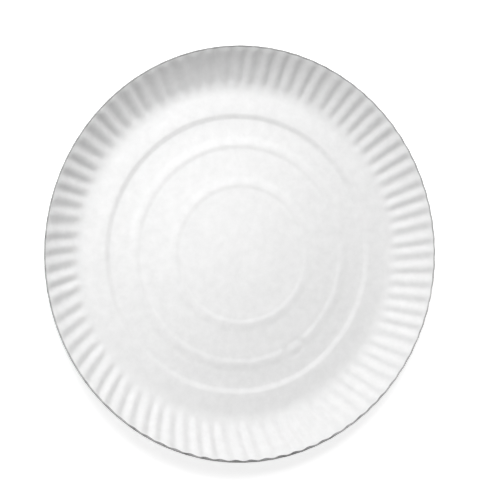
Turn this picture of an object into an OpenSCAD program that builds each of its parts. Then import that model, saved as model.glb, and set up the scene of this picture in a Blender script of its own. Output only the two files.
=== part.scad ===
// Round paper plate with a fluted border, pressed from one flat sheet of white board.
// Millimetres and degrees. Z is up. The origin is the bottom centre, on the surface
// that the plate rests on. Every radius is measured from the plate's axis.

/* [Sheet] */
// Diameter across the cut edge of the rim
plate_d = 230; // [180:1:270]
// Thickness of the pressed board
sheet_t = 0.45; // [0.3:0.05:0.6]

/* [Border] */
// Width of the sloping border, seen from above
border_w = 25.5; // [22:0.1:30]
// Width of the heel, where the flat floor bends up into the border
heel_w = 9; // [7:0.1:11]
// Width of the lip, where the border flattens out at the rim
lip_w = 3; // [1.5:0.1:4]
// Slope of the border above the heel, in degrees
heel_slope = 33; // [20:1:35]
// Slope of the border below the lip, in degrees
border_slope = 45; // [38:1:48]
// Slope of the lip at the cut edge, in degrees
lip_slope = 36; // [0:1:37]

/* [Flutes] */
// Number of flutes round the border
flute_count = 81; // [60:1:86]
// Height of a flute from trough to crest
flute_h = 0.85; // [0.4:0.05:1.4]
// Share of the flute height that is left at the cut edge
flute_h_at_edge = 0.4; // [0.1:0.05:1]
// Width of the plain heel between the floor and the start of the flutes
flute_start = 1.8; // [1:0.1:5]
// Width over which the flutes grow from nothing to their full height
flute_growth = 10; // [8:0.5:14]
// Lean of a flute from the straight line out of the centre, in degrees
flute_lean = 7.5; // [-20:0.5:20]

/* [Pressed floor] */
// Width of the flat ledge between the step and the heel
ledge_w = 9.3; // [6:0.1:11]
// Width of the step from the floor up to the ledge
step_w = 4.4; // [3.5:0.1:7]
// Height of the ledge above the floor
step_h = 1.15; // [0.5:0.05:1.5]
// Distance from the middle of the step in to the crest of the middle ring
middle_ring_inset = 15.7; // [11:0.1:18]
// Distance from the crest of the middle ring in to the crest of the inner ring
inner_ring_inset = 22.4; // [12:0.1:26]
// Width of the steep inner side of each raised ring, up to its crest
ring_inner_w = 3.2; // [2:0.1:4]
// Width of the gentle outer side of each raised ring, down from its crest
ring_outer_w = 5.2; // [3:0.1:6]
// Height of the inner ring above the floor
inner_ring_h = 0.4; // [0.15:0.05:0.6]
// Height of the middle ring above the floor
middle_ring_h = 0.45; // [0.15:0.05:0.6]

/* [Hidden] */
$fn = 180;

board_white = [0.95, 0.95, 0.94];

// Radii of the border, from the cut edge inwards
rim_r = plate_d / 2;
lip_r = rim_r - lip_w;
heel_r = rim_r - border_w;
slope_r = heel_r + heel_w;
flute_r = heel_r + flute_start;
full_flute_r = flute_r + flute_growth;

// Radii of the pressed floor, from the step inwards
step_r = heel_r - ledge_w - step_w / 2;
middle_ring_r = step_r - middle_ring_inset;
inner_ring_r = middle_ring_r - inner_ring_inset;

// The floor and the border are one sheet. They overlap in a band of the flat ledge
lap_w = 1;
floor_edge_r = heel_r - lap_w;
border_inner_r = floor_edge_r - lap_w;

// The step, and each side of a ring, are drawn with this many short chords
step_chords = 12;
ring_chords = 7;
// Points round one flute, enough for crest, trough and the slopes between
flute_points = 6;
// The flutes' crests lie on even angles, the first on +X, at this radius
crest_r = (slope_r + lip_r) / 2;
// Turn of a leaning flute about the axis for each millimetre that it runs outwards
flute_turn = 180 / PI * tan(flute_lean) / crest_r;
// Offsets at which the border's slopes are measured
radial_probe = 0.01;
angular_probe = 0.01;

// A hump of height 1 between x = -1 and x = 1, level at its foot and its crest
function hump(x) = abs(x) >= 1 ? 0 : (1 + cos(180 * x)) / 2;

// A rise from 0 to 1 between x = 0 and x = 1, level at both ends
function rise(x) = x <= 0 ? 0 : x >= 1 ? 1 : (1 - cos(180 * x)) / 2;

// Climb at radius r along an arc whose slope goes from a0 at r0 to a1 at r1
function arc_climb(r, r0, a0, r1, a1) =
    let (arc_r = (r1 - r0) / (sin(a1) - sin(a0)))
    let (slope = asin(sin(a0) + (r - r0) / arc_r))
    arc_r * (cos(a0) - cos(slope));

heel_climb = arc_climb(slope_r, heel_r, 0, slope_r, heel_slope);
slope_climb = arc_climb(lip_r, slope_r, heel_slope, lip_r, border_slope);

// Height of the sheet's middle over the floor's, on the border without its flutes
function border_z(r) =
    r <= heel_r ? 0
    : r <= slope_r ? arc_climb(r, heel_r, 0, slope_r, heel_slope)
    : r <= lip_r ? heel_climb + arc_climb(r, slope_r, heel_slope, lip_r, border_slope)
    : heel_climb + slope_climb + arc_climb(r, lip_r, border_slope, rim_r, lip_slope);

// A raised ring of height 1, steep on its inner side and gentle on its outer side
function ring_hump(r, ring_r) = hump((r - ring_r) / (r < ring_r ? ring_inner_w : ring_outer_w));

// Height of the sheet's middle over the floor's, on the two rings and the step
function floor_z(r) =
    inner_ring_h * ring_hump(r, inner_ring_r)
    + middle_ring_h * ring_hump(r, middle_ring_r)
    + step_h * rise((r - step_r) / step_w + 0.5);

// Height of the sheet's middle over the surface that the plate rests on
function middle_z(r) = sheet_t / 2 + floor_z(r) + border_z(r);

// Height of a crest over the middle of the sheet at radius r
function flute_reach(r) =
    flute_h / 2
    * rise((r - flute_r) / (full_flute_r - flute_r))
    * (1 - (1 - flute_h_at_edge) * rise((r - lip_r) / lip_w));

// The sheet's cross-section, as the point at radius r moved by t / 2 square to the sheet
function section_point(r, t) =
    let (slope = atan((middle_z(r + radial_probe) - middle_z(r - radial_probe)) / (2 * radial_probe)))
    [max(0, r - t / 2 * sin(slope)), middle_z(r) + t / 2 * cos(slope)];

// Radii along a pressed curve that runs from r0 up to, but not including, r1
function curve_radii(r0, r1, chords) = [for (i = [0 : chords - 1]) r0 + (r1 - r0) * i / chords];

function ring_radii(r) = concat(
    curve_radii(r - ring_inner_w, r, ring_chords),
    curve_radii(r, r + ring_outer_w, ring_chords),
    [r + ring_outer_w]
);

floor_radii = concat(
    [0],
    ring_radii(inner_ring_r),
    ring_radii(middle_ring_r),
    curve_radii(step_r - step_w / 2, step_r + step_w / 2, step_chords),
    [step_r + step_w / 2, floor_edge_r]
);

// A point on the middle of the border's sheet, its flutes included
function fluted_point(r, angle) =
    let (slope = atan((border_z(r) - border_z(r - radial_probe)) / radial_probe))
    let (reach = flute_reach(r) * cos(flute_count * (angle - flute_turn * (r - crest_r))))
    [r * cos(angle), r * sin(angle), middle_z(r) + reach / cos(slope)];

// The direction square to the fluted sheet, pointing up into the dish
function fluted_normal(r, angle) =
    let (inner = r - radial_probe)
    let (along = fluted_point(r, angle) - fluted_point(inner, angle))
    let (across = fluted_point(r, angle + angular_probe) - fluted_point(r, angle - angular_probe))
    let (square_to = cross(along, across))
    square_to / norm(square_to);

function face_point(r, angle, side) =
    fluted_point(r, angle) + side * sheet_t / 2 * fluted_normal(r, angle);

// Rings of points from the ledge out to the cut edge. The plain rings have one
// point for each flute, and the fluted rings have flute_points for each.
plain_radii = [border_inner_r, heel_r, flute_r];
fluted_radii = [
    flute_r + 0.35 * flute_growth,
    flute_r + 0.8 * flute_growth,
    (flute_r + 0.8 * flute_growth + lip_r) / 2,
    lip_r,
    rim_r
];
plain_n = flute_count;
fluted_n = flute_count * flute_points;

function ring_points(r, n, side) = [for (i = [0 : n - 1]) face_point(r, 360 * i / n, side)];

function sheet_face(side) = concat(
    [for (r = plain_radii) each ring_points(r, plain_n, side)],
    [for (r = fluted_radii) each ring_points(r, fluted_n, side)]
);

face_points = len(plain_radii) * plain_n + len(fluted_radii) * fluted_n;
first_fluted = len(plain_radii) * plain_n;

// Two triangles between neighbouring points of two rings with equal counts
function band(first, n) = [
    for (i = [0 : n - 1])
        let (j = (i + 1) % n)
        each [
            [first + i, first + n + i, first + n + j],
            [first + i, first + n + j, first + j]
        ]
];

// Triangles from the last plain ring out to the first fluted ring
function fan_band(first) = [
    for (i = [0 : plain_n - 1])
        let (next = first + (i + 1) % plain_n)
        let (half = flute_points / 2)
        each concat(
            [for (k = [0 : half - 1]) fan_triangle(first + i, i * flute_points + k)],
            [[first + i, first_fluted + i * flute_points + half, next]],
            [for (k = [half : flute_points - 1]) fan_triangle(next, i * flute_points + k)]
        )
];

function fan_triangle(hub, k) = [hub, first_fluted + k, first_fluted + (k + 1) % fluted_n];

function face_bands() = concat(
    [for (i = [0 : len(plain_radii) - 2]) each band(i * plain_n, plain_n)],
    fan_band(first_fluted - plain_n),
    [for (i = [0 : len(fluted_radii) - 2]) each band(first_fluted + i * fluted_n, fluted_n)]
);

// The narrow edge that joins the upper face to the lower one along a ring of points
function edge_band(first, n) = [
    for (i = [0 : n - 1])
        let (j = (i + 1) % n)
        each [
            [first + i, first + face_points + i, first + face_points + j],
            [first + i, first + face_points + j, first + j]
        ]
];

function turned_over(triangles) = [for (t = triangles) [t[2], t[1], t[0]]];

function moved_on(triangles, by) = [for (t = triangles) [t[0] + by, t[1] + by, t[2] + by]];

module pressed_floor() {
    upper = [for (r = floor_radii) section_point(r, sheet_t)];
    lower = [for (i = [len(floor_radii) - 1 : -1 : 0]) section_point(floor_radii[i], -sheet_t)];
    rotate_extrude() polygon(concat(upper, lower));
}

module fluted_border() {
    upper = turned_over(face_bands());
    lower = moved_on(face_bands(), face_points);
    cut_edge = turned_over(edge_band(face_points - fluted_n, fluted_n));
    hidden_edge = edge_band(0, plain_n);
    polyhedron(
        points = concat(sheet_face(1), sheet_face(-1)),
        faces = concat(upper, lower, cut_edge, hidden_edge)
    );
}

module plate() {
    color(board_white)
    union() {
        pressed_floor();
        fluted_border();
    }
}

plate();
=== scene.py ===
import math
import random

import bpy
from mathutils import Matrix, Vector, noise


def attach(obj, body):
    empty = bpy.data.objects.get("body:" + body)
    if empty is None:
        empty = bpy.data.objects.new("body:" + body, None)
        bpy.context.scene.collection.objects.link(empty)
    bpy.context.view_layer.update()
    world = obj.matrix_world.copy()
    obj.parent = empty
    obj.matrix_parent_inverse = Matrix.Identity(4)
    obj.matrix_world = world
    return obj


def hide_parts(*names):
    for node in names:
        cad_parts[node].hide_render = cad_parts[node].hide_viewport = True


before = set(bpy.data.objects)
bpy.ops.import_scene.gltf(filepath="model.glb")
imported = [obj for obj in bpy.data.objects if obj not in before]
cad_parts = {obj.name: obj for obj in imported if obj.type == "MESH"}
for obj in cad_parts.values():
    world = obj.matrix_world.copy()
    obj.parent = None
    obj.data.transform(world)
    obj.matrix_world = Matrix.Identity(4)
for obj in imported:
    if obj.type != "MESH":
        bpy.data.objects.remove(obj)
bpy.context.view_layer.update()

MM = 0.001

# The pressed sheet, in millimetres and degrees. The sizes are the CAD model's.
SHEET_T = 0.45
RIM_R = 115.0

# Border: heel, slope and lip, from the floor out to the cut edge
BORDER_W = 25.5
HEEL_W = 9.0
LIP_W = 3.0
HEEL_SLOPE = 33.0
BORDER_SLOPE = 45.0
LIP_SLOPE = 36.0
HEEL_R = RIM_R - BORDER_W
SLOPE_R = HEEL_R + HEEL_W
LIP_R = RIM_R - LIP_W

# Flutes. They start a little way up the heel and grow to their full height.
FLUTES = 81
FLUTE_H = 0.85
FLUTE_H_AT_EDGE = 0.4
FLUTE_START = 1.8
FLUTE_GROWTH = 10.0
FLUTE_LEAN = 7.5
FLUTE_R = HEEL_R + FLUTE_START
FULL_FLUTE_R = FLUTE_R + FLUTE_GROWTH
CREST_R = (SLOPE_R + LIP_R) / 2
FLUTE_TURN = math.degrees(math.tan(math.radians(FLUTE_LEAN)) / CREST_R)

# Pressed floor: the step up to the ledge and the two raised rings
LEDGE_W = 9.3
STEP_W = 4.4
STEP_H = 1.15
MIDDLE_RING_INSET = 15.7
INNER_RING_INSET = 22.4
RING_INNER_W = 3.2
RING_OUTER_W = 5.2
INNER_RING_H = 0.4
MIDDLE_RING_H = 0.45
STEP_R = HEEL_R - LEDGE_W - STEP_W / 2
STEP_FOOT_R = STEP_R - STEP_W / 2
STEP_TOP_R = STEP_R + STEP_W / 2
MIDDLE_RING_R = STEP_R - MIDDLE_RING_INSET
INNER_RING_R = MIDDLE_RING_R - INNER_RING_INSET

# The small oval mark that the press left on the middle ring: a low button in a moat, on
# a faint swelling, with the ring pressed away beside it. The radii are those across the
# ring, and along the ring they are longer. The button's runs to the middle of its flank.
MARK_AT = Vector((32.1, -54.5))
MARK_STRETCH = 1.6
MARK_R = 1.4
MARK_FLANK = 2.6
MARK_H = 0.28
MOAT_R = 3.8
MOAT_W = 2.2
MOAT_H = 0.26
SWELL_R = 16.0
SWELL_H = 0.28
MARK_CLEAR_R = 2.5
MARK_REACH = 6.0

# How far a real plate strays from its mould: uneven flutes, a floor that has sprung up
# and cockled, and a rim that is lifted on two opposite sides, at a phase in radians
FLUTE_SEED = 81
FLUTE_H_SPREAD = 0.17
FLUTE_SHIFT_SPREAD = 0.3
FLOOR_SPRING_H = 0.9
FLOOR_SPRING_R = 12.0
FLOOR_COCKLE_H = 0.05
FLOOR_COCKLE_SIZE = 24.0
RIM_LIFT = 0.35
RIM_LIFT_PHASE = 1.1

# The trimmed edge: a crushed margin on the faces, and the cut itself, a little rounded.
# Towards -Y the grey margin is painted wider in scallops, one to each flute: painted shadow under
# the rim.
MARGIN_W = 0.5
MARGIN_R = RIM_R - MARGIN_W
SHADOW_SCALLOP_W = 0.55
SHADOW_SCALLOP_MEAN = 0.6
SHADOW_SCALLOP_WAVE = 0.4
SHADOW_SCALLOP_AT = 262.0
SHADOW_SCALLOP_SPAN = 80.0
EDGE_BULGE = 0.2
EDGE_STEPS = 6

# How finely the sheet is meshed: the points round each ring of the mesh, the steps from
# one ring to the next, and the offset at which slopes are measured
CENTRE_POINTS = FLUTES
FLOOR_POINTS = FLUTES * 6
BORDER_POINTS = FLUTES * 12
CENTRE_STEP = 9.0
CENTRE_GAP = 1.0
LEVEL_STEP = 3.0
OUTER_FLOOR_STEP = 1.5
RAISED_RING_STEP = 0.6
FINE_STEP = 0.65
BORDER_STEP = 1.3
PROBE = 0.02


def hump(x):
    """A hump of height 1 between x = -1 and x = 1, level at its foot and its crest."""
    return 0.0 if abs(x) >= 1 else (1 + math.cos(math.pi * x)) / 2


def rise(x):
    """A rise from 0 to 1 between x = 0 and x = 1, level at both ends."""
    x = min(1.0, max(0.0, x))
    return (1 - math.cos(math.pi * x)) / 2


def arc_climb(r, r0, a0, r1, a1):
    """The climb at radius r along an arc whose slope goes from a0 at r0 to a1 at r1."""
    a0, a1 = math.radians(a0), math.radians(a1)
    arc_r = (r1 - r0) / (math.sin(a1) - math.sin(a0))
    slope = math.asin(math.sin(a0) + (r - r0) / arc_r)
    return arc_r * (math.cos(a0) - math.cos(slope))


def border_height(r):
    """The border's height over the ledge at radius r, without its flutes."""
    climb = arc_climb(min(max(r, HEEL_R), SLOPE_R), HEEL_R, 0.0, SLOPE_R, HEEL_SLOPE)
    if r > SLOPE_R:
        climb += arc_climb(min(r, LIP_R), SLOPE_R, HEEL_SLOPE, LIP_R, BORDER_SLOPE)
    if r > LIP_R:
        climb += arc_climb(r, LIP_R, BORDER_SLOPE, RIM_R, LIP_SLOPE)
    return climb


def ring_height(r, crest_r):
    """A raised ring of height 1, steep on its inner side and gentle on its outer side."""
    return hump((r - crest_r) / (RING_INNER_W if r < crest_r else RING_OUTER_W))


def rings_height(r):
    """The height of the two raised rings over the floor at radius r."""
    inner = INNER_RING_H * ring_height(r, INNER_RING_R)
    return inner + MIDDLE_RING_H * ring_height(r, MIDDLE_RING_R)


def step_height(r):
    """The height of the step and the ledge over the floor at radius r."""
    return STEP_H * rise((r - STEP_R) / STEP_W + 0.5)


def flute_reach(r):
    """The height of a crest over the middle of the sheet at radius r."""
    grown = rise((r - FLUTE_R) / (FULL_FLUTE_R - FLUTE_R))
    kept = 1 - (1 - FLUTE_H_AT_EDGE) * rise((r - LIP_R) / (RIM_R - LIP_R))
    return FLUTE_H / 2 * grown * kept


def uneven_flutes():
    """The height of each flute as a share of the mould's, and its shift in degrees."""
    dice = random.Random(FLUTE_SEED)
    heights = [1 + dice.uniform(-FLUTE_H_SPREAD, FLUTE_H_SPREAD) for _ in range(FLUTES)]
    shifts = [dice.uniform(-FLUTE_SHIFT_SPREAD, FLUTE_SHIFT_SPREAD) for _ in range(FLUTES)]
    return heights, shifts


flute_heights, flute_shifts = uneven_flutes()


def between_flutes(values, turns):
    """The value at a place round the border, eased from one flute's value to the next."""
    place = turns * FLUTES
    first = math.floor(place)
    eased = rise(place - first)
    return values[first % FLUTES] * (1 - eased) + values[(first + 1) % FLUTES] * eased


def from_mark(x, y):
    """How far a place is from the mark's middle, counted shorter along the ring than across."""
    offset = Vector((x, y)) - MARK_AT
    outward = MARK_AT.normalized()
    return math.hypot(offset.dot(outward), offset.cross(outward) / MARK_STRETCH)


def mark_height(away):
    """The height of the press mark at a distance from its middle."""
    button = MARK_H * (1 - rise((away - MARK_R) / MARK_FLANK + 0.5))
    return button - MOAT_H * hump((away - MOAT_R) / MOAT_W) + SWELL_H * hump(away / SWELL_R)


def floor_spring(r):
    """How far the floor has sprung back up: most in its middle, and nothing at the step."""
    return FLOOR_SPRING_H * (1 - rise((r - FLOOR_SPRING_R) / (STEP_FOOT_R - FLOOR_SPRING_R)))


def rim_lift(r, angle):
    """How far the border is lifted or lowered: most at the rim, and nothing at the heel."""
    share = rise((r - HEEL_R) / (RIM_R - HEEL_R))
    return RIM_LIFT * share * math.cos(2 * angle + RIM_LIFT_PHASE) / 2


def cockle(x, y):
    """The slow waviness of the pressed floor, which is never below the mould's level."""
    place = Vector((x, y, 0.0)) / FLOOR_COCKLE_SIZE
    return FLOOR_COCKLE_H * (1 + noise.noise(place)) / 2


def sheet_point(r, angle):
    """A point on the middle of the sheet, in millimetres. The angle is in radians."""
    turns = angle / math.tau
    shift = between_flutes(flute_shifts, turns)
    turned = math.degrees(angle) - FLUTE_TURN * (r - CREST_R) - shift
    reach = flute_reach(r) * between_flutes(flute_heights, turns)
    reach *= math.cos(math.radians(FLUTES * turned))
    slope = math.atan((border_height(r) - border_height(r - PROBE)) / PROBE)
    x, y = r * math.cos(angle), r * math.sin(angle)
    waves = cockle(x, y) * (1 - rise((r - STEP_R) / (HEEL_R - STEP_R)))
    away = from_mark(x, y)
    rings = rings_height(r) * rise((away - MARK_CLEAR_R) / (MARK_REACH - MARK_CLEAR_R))
    height = SHEET_T / 2 + step_height(r) + border_height(r) + reach / math.cos(slope)
    strays = rim_lift(r, angle) + floor_spring(r) + waves
    return Vector((x, y, height + rings + mark_height(away) + strays))


def sheet_normal(r, angle):
    """The direction square to the sheet, pointing up into the dish."""
    if r < PROBE:
        return Vector((0.0, 0.0, 1.0))
    turn = PROBE / r
    along = sheet_point(r + PROBE, angle) - sheet_point(r - PROBE, angle)
    across = sheet_point(r, angle + turn) - sheet_point(r, angle - turn)
    return along.cross(across).normalized()


def steps(start, end, size):
    """Evenly spaced radii from start up to, but not including, end."""
    count = max(1, round((end - start) / size))
    return [start + (end - start) * i / count for i in range(count)]


def sheet_rings():
    """Every ring of points on a face of the sheet, as its radius and its point count."""
    ring_in = INNER_RING_R - RING_INNER_W
    ring_out = INNER_RING_R + RING_OUTER_W
    mark_in = MARK_AT.length - MOAT_R - MOAT_W
    mark_out = MARK_AT.length + MOAT_R + MOAT_W
    centre = steps(CENTRE_STEP, ring_in - CENTRE_GAP, CENTRE_STEP)
    floor = steps(ring_in, ring_out, RAISED_RING_STEP)
    floor += steps(ring_out, mark_in, LEVEL_STEP)
    floor += steps(mark_in, mark_out, FINE_STEP)
    floor += steps(mark_out, STEP_FOOT_R, OUTER_FLOOR_STEP)
    floor += steps(STEP_FOOT_R, STEP_TOP_R, FINE_STEP)
    floor += steps(STEP_TOP_R, HEEL_R, LEVEL_STEP)
    border = steps(HEEL_R, LIP_R, BORDER_STEP)
    border += steps(LIP_R, MARGIN_R - SHADOW_SCALLOP_W, FINE_STEP)
    border += [MARGIN_R, RIM_R]
    return (
        [(r, CENTRE_POINTS) for r in centre]
        + [(r, FLOOR_POINTS) for r in floor]
        + [(r, BORDER_POINTS) for r in border]
    )


def painted_shadow_scallop(angle):
    """How much wider the grey margin is painted at an angle than elsewhere round the rim: painted
    shadow towards -Y, one scallop to each flute.
    """
    low = hump((math.degrees(angle) - SHADOW_SCALLOP_AT) / SHADOW_SCALLOP_SPAN)
    turned = math.degrees(angle) - FLUTE_TURN * (RIM_R - CREST_R)
    wave = math.cos(math.radians(FLUTES * turned))
    return SHADOW_SCALLOP_W * low * (SHADOW_SCALLOP_MEAN - SHADOW_SCALLOP_WAVE * wave)


def join_rings(first, count, next_first, next_count):
    """Faces between a ring and the next one out, which has a whole number of times its points."""
    share = next_count // count
    faces = []
    for i in range(count):
        here, after = first + i, first + (i + 1) % count
        outer = [next_first + (i * share + k) % next_count for k in range(share + 1)]
        half = share // 2
        faces += [(here, outer[k], outer[k + 1]) for k in range(half)]
        middle = outer[half : half + 2] if share % 2 else [outer[half]]
        faces.append((here, *middle, after))
        faces += [(after, outer[k], outer[k + 1]) for k in range(half + share % 2, share)]
    return faces


def sheet_surface(rings):
    """Points on the middle of the sheet and the directions square to it, from the centre
    outwards, with the place of each ring's first point."""
    points, normals, firsts = [sheet_point(0.0, 0.0)], [Vector((0.0, 0.0, 1.0))], []
    for r, count in rings:
        firsts.append(len(points))
        for i in range(count):
            angle = math.tau * i / count
            # The margin's ring comes inwards where the painted shadow scallops widen the grey
            # margin
            here = r - painted_shadow_scallop(angle) if r == MARGIN_R else r
            points.append(sheet_point(here, angle))
            normals.append(sheet_normal(here, angle))
    return points, normals, firsts


def face_bands(rings, firsts):
    """The faces of one side of the sheet, and how many of them come before the margin."""
    centre_ring = rings[0][1]
    faces = [(0, 1 + i, 1 + (i + 1) % centre_ring) for i in range(centre_ring)]
    counts = [count for _, count in rings]
    for count, next_count, first, next_first in zip(counts, counts[1:], firsts, firsts[1:]):
        before_margin = len(faces)
        faces += join_rings(first, count, next_first, next_count)
    return faces, before_margin


def cut_edge_row(points, normals, turn):
    """Points round the cut edge, turned over it from the upper face towards the lower."""
    row = []
    for i in range(BORDER_POINTS):
        inner = sheet_point(RIM_R - PROBE, math.tau * i / BORDER_POINTS)
        outward = (points[i] - inner).normalized()
        edge = points[i] + normals[i] * SHEET_T / 2 * math.cos(turn)
        row.append(edge + outward * EDGE_BULGE * math.sin(turn))
    return row


def pressed_sheet():
    """The whole plate as one closed sheet: upper face, trimmed edge and lower face."""
    rings = sheet_rings()
    points, normals, firsts = sheet_surface(rings)
    one_side, before_margin = face_bands(rings, firsts)
    side_size, rim = len(points), firsts[-1]

    vertices = [p + n * SHEET_T / 2 for p, n in zip(points, normals)]
    vertices += [p - n * SHEET_T / 2 for p, n in zip(points, normals)]
    faces = one_side + [tuple(v + side_size for v in reversed(f)) for f in one_side]
    trimmed = [i >= before_margin for i in range(len(one_side))] * 2

    rows = [rim]
    for step in range(1, EDGE_STEPS):
        rows.append(len(vertices))
        vertices += cut_edge_row(points[rim:], normals[rim:], math.pi * step / EDGE_STEPS)
    rows.append(rim + side_size)
    for row, next_row in zip(rows, rows[1:]):
        for i in range(BORDER_POINTS):
            j = (i + 1) % BORDER_POINTS
            faces.append((row + i, next_row + i, next_row + j, row + j))
            trimmed.append(True)

    mesh = bpy.data.meshes.new("pressed_sheet")
    mesh.from_pydata([v * MM for v in vertices], [], faces)
    mesh.materials.append(pressed_board())
    mesh.materials.append(cut_board())
    mesh.polygons.foreach_set("material_index", [int(t) for t in trimmed])
    mesh.polygons.foreach_set("use_smooth", [True] * len(faces))
    mesh.validate()
    plate = bpy.data.objects.new("pressed_plate", mesh)
    bpy.context.collection.objects.link(plate)
    return plate


# The board's grain and the bare fibres at its edge, as feature sizes and bump heights in
# millimetres. The real tooth is finer than this, and wouldn't show.
CLOUD_SIZE = 5.0
CLOUD_BUMP_H = 0.05
TOOTH_SIZE = 1.4
TOOTH_BUMP_H = 0.014
FIBRE_SIZE = 6.0
FIBRE_BUMP_H = 0.05

# Painted shade: the edge and margin are painted darker between these two places, towards -Y, on
# the side away from the key lamp
SHADE_START_Y = -70.0
SHADE_FULL_Y = -110.0
PAINTED_SHADE_TONE = -0.28


def linear(hex_colour):
    """An sRGB hex colour as linear red, green, blue and alpha."""
    channels = [int(hex_colour[i : i + 2], 16) / 255 for i in (1, 3, 5)]
    curve = [c / 12.92 if c <= 0.04045 else ((c + 0.055) / 1.055) ** 2.4 for c in channels]
    return (*curve, 1.0)


def add_node(tree, kind, settings=None, links=None, values=None):
    """Adds a node, sets its properties and socket values, and links its inputs."""
    node = tree.nodes.new(kind)
    for name, value in (settings or {}).items():
        setattr(node, name, value)
    for socket, value in (values or {}).items():
        node.inputs[socket].default_value = value
    for socket, source in (links or {}).items():
        tree.links.new(source, node.inputs[socket])
    return node


def new_material(name):
    """An empty node material and its output."""
    material = bpy.data.materials.new(name)
    material.use_nodes = True
    tree = material.node_tree
    tree.nodes.clear()
    return material, tree, add_node(tree, "ShaderNodeOutputMaterial")


def per_metre(size_mm):
    """The texture scale at which a noise has features of a size in millimetres."""
    return 1 / (size_mm * MM)


def pressed_board():
    """Uncoated white paperboard, pressed hot. It is a soft near-white with faint clouds where
    the fibres lie thicker, a fine tooth, and a dull sheen from the mould."""
    material, tree, out = new_material("pressed_paperboard")
    place = add_node(tree, "ShaderNodeTexCoord").outputs["Object"]
    clouds = add_node(
        tree, "ShaderNodeTexNoise",
        links={"Vector": place},
        values={"Scale": per_metre(CLOUD_SIZE), "Detail": 4.0, "Roughness": 0.6},
    )
    tooth = add_node(
        tree, "ShaderNodeTexNoise",
        links={"Vector": place},
        values={"Scale": per_metre(TOOTH_SIZE), "Detail": 3.0, "Roughness": 0.65},
    )
    colour = add_node(
        tree, "ShaderNodeValToRGB",
        links={"Fac": clouds.outputs["Fac"]},
    )
    colour.color_ramp.elements[0].position = 0.3
    colour.color_ramp.elements[0].color = linear("#E4E4E4")
    colour.color_ramp.elements[1].position = 0.7
    colour.color_ramp.elements[1].color = linear("#EBEBEB")
    tooth_bump = add_node(
        tree, "ShaderNodeBump",
        links={"Height": tooth.outputs["Fac"]},
        values={"Strength": 1.0, "Distance": TOOTH_BUMP_H * MM},
    )
    cloud_bump = add_node(
        tree, "ShaderNodeBump",
        links={"Height": clouds.outputs["Fac"], "Normal": tooth_bump.outputs["Normal"]},
        values={"Strength": 1.0, "Distance": CLOUD_BUMP_H * MM},
    )
    surface = add_node(
        tree, "ShaderNodeBsdfPrincipled",
        links={"Base Color": colour.outputs["Color"], "Normal": cloud_bump.outputs["Normal"]},
        values={"Roughness": 0.75, "IOR": 1.5, "Specular IOR Level": 0.12},
    )
    tree.links.new(surface.outputs["BSDF"], out.inputs["Surface"])
    return material


def cut_board():
    """The die-cut edge of the board and the margin that the die crushed. Bare fibres
    there take less light, so the rim reads as a thin grey line that comes and goes. Towards -Y, on
    the side away from the key lamp, it is painted darker still: painted shade where the rim's
    shadow falls."""
    material, tree, out = new_material("die_cut_board_edge")
    place = add_node(tree, "ShaderNodeTexCoord").outputs["Object"]
    fibres = add_node(
        tree, "ShaderNodeTexNoise",
        links={"Vector": place},
        values={"Scale": per_metre(FIBRE_SIZE), "Detail": 5.0, "Roughness": 0.7},
    )
    across = add_node(tree, "ShaderNodeSeparateXYZ", links={0: place})
    # Painted shade: the colour darkens towards -Y, where the rim's shadow falls
    painted_shade = add_node(
        tree, "ShaderNodeMapRange",
        links={"Value": across.outputs["Y"]},
        values={
            "From Min": SHADE_START_Y * MM, "From Max": SHADE_FULL_Y * MM,
            "To Min": 0.0, "To Max": PAINTED_SHADE_TONE,
        },
    )
    tone = add_node(
        tree, "ShaderNodeMath",
        settings={"operation": "ADD"},
        links={0: fibres.outputs["Fac"], 1: painted_shade.outputs["Result"]},
    )
    colour = add_node(
        tree, "ShaderNodeValToRGB",
        links={"Fac": tone.outputs[0]},
    )
    colour.color_ramp.elements[0].position = 0.05
    colour.color_ramp.elements[0].color = linear("#5C5C5C")
    colour.color_ramp.elements[1].position = 0.7
    colour.color_ramp.elements[1].color = linear("#CACACA")
    bump = add_node(
        tree, "ShaderNodeBump",
        links={"Height": fibres.outputs["Fac"]},
        values={"Strength": 1.0, "Distance": FIBRE_BUMP_H * MM},
    )
    surface = add_node(
        tree, "ShaderNodeBsdfPrincipled",
        links={"Base Color": colour.outputs["Color"], "Normal": bump.outputs["Normal"]},
        values={"Roughness": 0.85, "IOR": 1.5, "Specular IOR Level": 0.2},
    )
    tree.links.new(surface.outputs["BSDF"], out.inputs["Surface"])
    return material


# The stage, in metres: a plain white floor and a white surround. To the camera the floor
# glows, less beside the plate, where it takes the shadow, than far away, where the lamp
# doesn't reach.
FLOOR_SIZE = 6.0
FLOOR_DROP = 0.05 * MM
NEAR_GLOW = 0.71
NEAR_R = 0.125
FAR_R = 0.22
AMBIENT = 0.23


def seen_by_camera(tree):
    """1 for what the camera sees, straight or in gloss or glass, and 0 for other light."""
    path = add_node(tree, "ShaderNodeLightPath")
    gloss = add_node(
        tree, "ShaderNodeMath",
        settings={"operation": "MAXIMUM"},
        links={0: path.outputs["Is Camera Ray"], 1: path.outputs["Is Glossy Ray"]},
    )
    return add_node(
        tree, "ShaderNodeMath",
        settings={"operation": "MAXIMUM"},
        links={0: gloss.outputs[0], 1: path.outputs["Is Transmission Ray"]},
    ).outputs[0]


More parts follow.
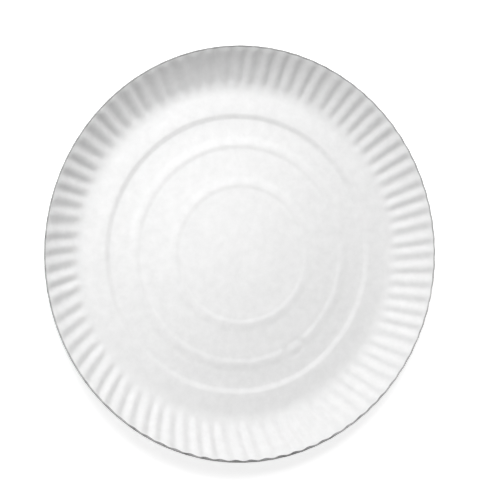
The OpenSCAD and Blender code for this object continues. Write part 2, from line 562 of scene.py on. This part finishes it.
def white_floor():
    """A matt floor that takes the plate's shadow and reads white to the camera."""
    material, tree, out = new_material("white_floor")
    matt = add_node(
        tree, "ShaderNodeBsdfDiffuse",
        values={"Color": linear("#DCDCDC")},
    )
    place = add_node(tree, "ShaderNodeTexCoord").outputs["Object"]
    away = add_node(
        tree, "ShaderNodeVectorMath",
        settings={"operation": "LENGTH"},
        links={0: place},
    )
    level = add_node(
        tree, "ShaderNodeMapRange",
        links={"Value": away.outputs["Value"]},
        values={"From Min": NEAR_R, "From Max": FAR_R, "To Min": NEAR_GLOW, "To Max": 1.0},
    )
    glow = add_node(
        tree, "ShaderNodeMath",
        settings={"operation": "MULTIPLY"},
        links={0: seen_by_camera(tree), 1: level.outputs["Result"]},
    )
    lit = add_node(
        tree, "ShaderNodeEmission",
        links={"Strength": glow.outputs[0]},
    )
    both = add_node(
        tree, "ShaderNodeAddShader",
        links={0: matt.outputs[0], 1: lit.outputs[0]},
    )
    tree.links.new(both.outputs[0], out.inputs["Surface"])
    mesh = bpy.data.meshes.new("floor")
    half = FLOOR_SIZE / 2
    square = ((-half, -half), (half, -half), (half, half), (-half, half))
    corners = [(x, y, -FLOOR_DROP) for x, y in square]
    mesh.from_pydata(corners, [], [(0, 1, 2, 3)])
    mesh.materials.append(material)
    floor = bpy.data.objects.new("floor", mesh)
    bpy.context.collection.objects.link(floor)
    return floor


def white_surround():
    """An even dome of light, which the camera sees as white."""
    world = bpy.data.worlds.new("surround")
    world.use_nodes = True
    tree = world.node_tree
    tree.nodes.clear()
    strength = add_node(
        tree, "ShaderNodeMapRange",
        links={"Value": seen_by_camera(tree)},
        values={"To Min": AMBIENT, "To Max": 1.0},
    )
    dome = add_node(
        tree, "ShaderNodeBackground",
        links={"Strength": strength.outputs["Result"]},
        values={"Color": (1.0, 1.0, 1.0, 1.0)},
    )
    out = add_node(tree, "ShaderNodeOutputWorld")
    tree.links.new(dome.outputs[0], out.inputs["Surface"])
    bpy.context.scene.world = world


# The lamps: a soft box beside the plate, towards the picture's top, and a small one over it.
# The small one has a grid, so its beam stays on the floor, a little left of the middle.
# Distances are in metres, angles in degrees and powers in watts.
KEY_AZIMUTH = 112.0
KEY_ELEVATION = 50.0
KEY_DISTANCE = 0.9
KEY_SIZE = 0.5
KEY_BEAM = 180.0
KEY_AIM = Vector((0.0, 0.0, 0.0))
KEY_POWER = 8.15

TOP_AZIMUTH = 180.0
TOP_ELEVATION = 80.0
TOP_DISTANCE = 0.6
TOP_SIZE = 0.15
TOP_BEAM = 20.0
TOP_AIM = Vector((-30.0, 15.0, 0.0)) * MM
TOP_POWER = 0.0121


def soft_box(name, azimuth, elevation, distance, size, power, aim, beam):
    """A square soft box at a direction and distance from the plate, aimed at a point on it.
    The beam is the full angle that its light spreads over, in degrees."""
    data = bpy.data.lights.new(name, "AREA")
    data.shape = "SQUARE"
    data.size = size
    data.energy = power
    data.spread = math.radians(beam)
    lamp = bpy.data.objects.new(name, data)
    bpy.context.collection.objects.link(lamp)
    azimuth, elevation = math.radians(azimuth), math.radians(elevation)
    across = math.cos(elevation)
    to_lamp = Vector((math.cos(azimuth) * across, math.sin(azimuth) * across, math.sin(elevation)))
    lamp.location = to_lamp * distance
    lamp.rotation_mode = "QUATERNION"
    lamp.rotation_quaternion = (lamp.location - aim).to_track_quat("Z", "Y")


# The camera looks down on the dish, leaning to the left, so that the round rim takes the
# narrow outline that it has in the photograph. The lens and sensor are in millimetres.
CAMERA_LEAN = -20.8
CAMERA_DISTANCE = 0.618
CAMERA_TARGET = Vector((5.0, 2.2, 0.0)) * MM
CAMERA_LENS = 78.1
CAMERA_SENSOR = 36.0
CAMERA_NEAREST = 0.01
CAMERA_FARTHEST = 20.0


def camera():
    """The camera at the photograph's viewing angle, with +Y up the picture."""
    data = bpy.data.cameras.new("camera")
    data.lens = CAMERA_LENS
    data.sensor_width = CAMERA_SENSOR
    data.clip_start = CAMERA_NEAREST
    data.clip_end = CAMERA_FARTHEST
    view = bpy.data.objects.new("camera", data)
    bpy.context.collection.objects.link(view)
    lean = math.radians(CAMERA_LEAN)
    back = Vector((math.sin(lean), 0.0, math.cos(lean)))
    view.location = CAMERA_TARGET + back * CAMERA_DISTANCE
    view.rotation_euler = (0.0, lean, 0.0)
    bpy.context.scene.camera = view


plate = pressed_sheet()
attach(plate, "root")
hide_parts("plate")

white_floor()
white_surround()
soft_box("key", KEY_AZIMUTH, KEY_ELEVATION, KEY_DISTANCE, KEY_SIZE, KEY_POWER, KEY_AIM, KEY_BEAM)
soft_box("top", TOP_AZIMUTH, TOP_ELEVATION, TOP_DISTANCE, TOP_SIZE, TOP_POWER, TOP_AIM, TOP_BEAM)
camera()

bpy.context.scene.view_settings.view_transform = "Standard"
